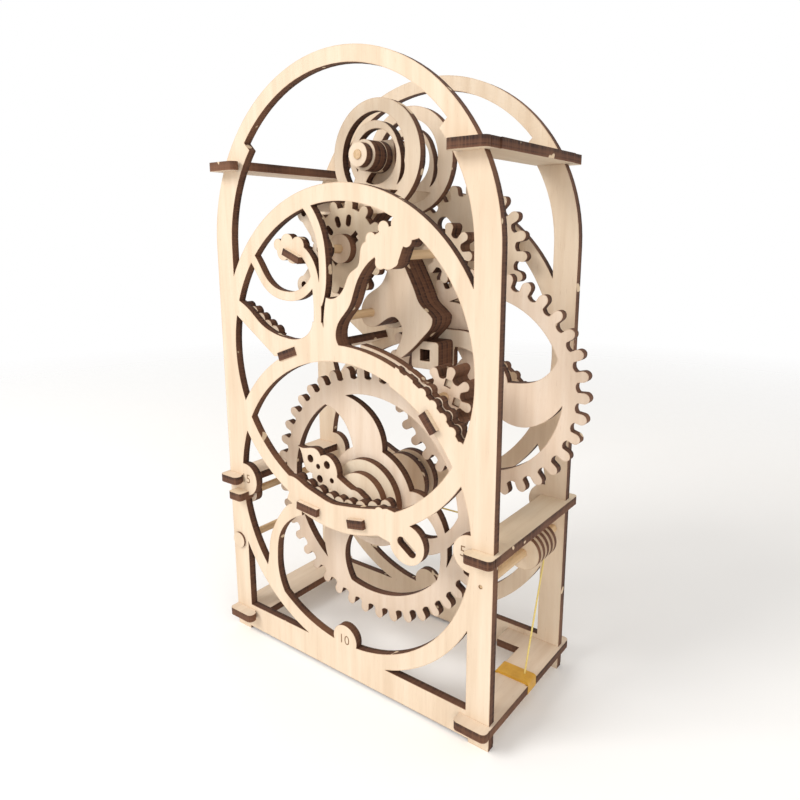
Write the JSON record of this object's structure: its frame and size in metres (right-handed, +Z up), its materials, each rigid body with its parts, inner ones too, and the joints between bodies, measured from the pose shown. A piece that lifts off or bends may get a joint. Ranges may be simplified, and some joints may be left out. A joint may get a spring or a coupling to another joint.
{
  "type": "mechanical wooden timer puzzle",
  "caption": "Laser-cut plywood clockwork timer: two arched plates with scrollwork, shelves, toothed wheels, pointer, anchor and spiral balance.",
  "frame": {"origin": "centre of the overall width and depth, on the surface that the feet rest on", "axes": "+X to the right seen from the front, +Y from the front plate to the back plate, +Z up"},
  "size_m": [0.1344, 0.0636, 0.2157],
  "materials": {
    "plywood": "matte",
    "skewer": "matte",
    "rubber": "satin",
    "thread": "matte"
  },
  "bodies": {
    "frame": {"front_plate": "plywood", "back_plate": "plywood", "stem_layer": "plywood", "leaf_layer": "plywood", "eye_bar_layer": "plywood", "left_band_layer": "plywood", "star_bracket": "plywood", "peg_eye_left": "plywood", "peg_eye_middle": "plywood", "peg_leaf": "plywood", "peg_scroll": "plywood", "cross_board": "plywood", "bridge_beam": "plywood", "base_shelf_right": "plywood", "base_shelf_left": "plywood", "mid_shelf_right": "plywood", "mid_shelf_left": "plywood", "shoulder_shelf_right": "plywood", "shoulder_shelf_left": "plywood", "brace_left": "plywood", "post_front": "plywood", "post_middle": "plywood", "post_rear": "plywood", "skewer_high": "skewer", "skewer_low": "skewer", "skewer_plug": "plywood", "skewer_knob": "plywood", "thread": "thread", "rubber_band": "rubber"},
    "dial": {"dial_gear": "plywood", "dial_disc_large": "plywood", "dial_disc_small": "plywood", "pointer": "plywood", "dial_shaft": "skewer", "winding_drum": "plywood", "winding_flanges": "plywood"},
    "second_wheel": {"axle_a": "skewer", "pinion_a": "plywood", "pinion_a_pegs": "plywood", "wheel_a": "plywood"},
    "third_wheel": {"axle_b": "skewer", "pinion_b": "plywood", "wheel_b": "plywood"},
    "star": {"axle_e": "skewer", "pinion_e": "plywood", "star_wheel": "plywood", "star_hub": "plywood"},
    "anchor": {"anchor_front": "plywood", "anchor_second": "plywood", "anchor_third": "plywood", "anchor_rear": "plywood", "anchor_arm": "plywood", "anchor_block": "plywood", "anchor_pin": "skewer"},
    "balance": {"spiral_front": "plywood", "spiral_rear": "plywood", "balance_axle": "skewer", "balance_hubs": "plywood"},
    "thread_reel": {"thread_axle": "skewer", "thread_drum": "plywood"}
  },
  "joints": [
    {"name": "dial_turn", "type": "hinge", "parent": "frame", "child": "dial", "pos_m": [-0.0062, 0, 0.0662], "axis": [0, -1, 0], "continuous": true},
    {"name": "second_wheel_turn", "type": "hinge", "parent": "frame", "child": "second_wheel", "pos_m": [0.02793, 0, 0.10933], "axis": [0, -1, 0], "continuous": true},
    {"name": "third_wheel_turn", "type": "hinge", "parent": "frame", "child": "third_wheel", "pos_m": [0.0148, 0, 0.15363], "axis": [0, -1, 0], "continuous": true},
    {"name": "star_turn", "type": "hinge", "parent": "frame", "child": "star", "pos_m": [-0.01595, 0, 0.15524], "axis": [0, -1, 0], "continuous": true},
    {"name": "anchor_swing", "type": "hinge", "parent": "frame", "child": "anchor", "pos_m": [-0.0077, 0, 0.1332], "axis": [0, -1, 0], "range_deg": [-3, 3]},
    {"name": "balance_swing", "type": "hinge", "parent": "frame", "child": "balance", "pos_m": [-0.0062, 0, 0.1855], "axis": [0, -1, 0], "range_deg": [-25, 25]},
    {"name": "thread_reel_turn", "type": "hinge", "parent": "frame", "child": "thread_reel", "pos_m": [0.0496, 0, 0.0558], "axis": [0, -1, 0], "continuous": true}
  ],
  "couplings": [
    {"joint": "second_wheel_turn", "follows": "dial_turn", "ratio": -5.25},
    {"joint": "third_wheel_turn", "follows": "dial_turn", "ratio": 22.312},
    {"joint": "star_turn", "follows": "dial_turn", "ratio": -55.781}
  ]
}
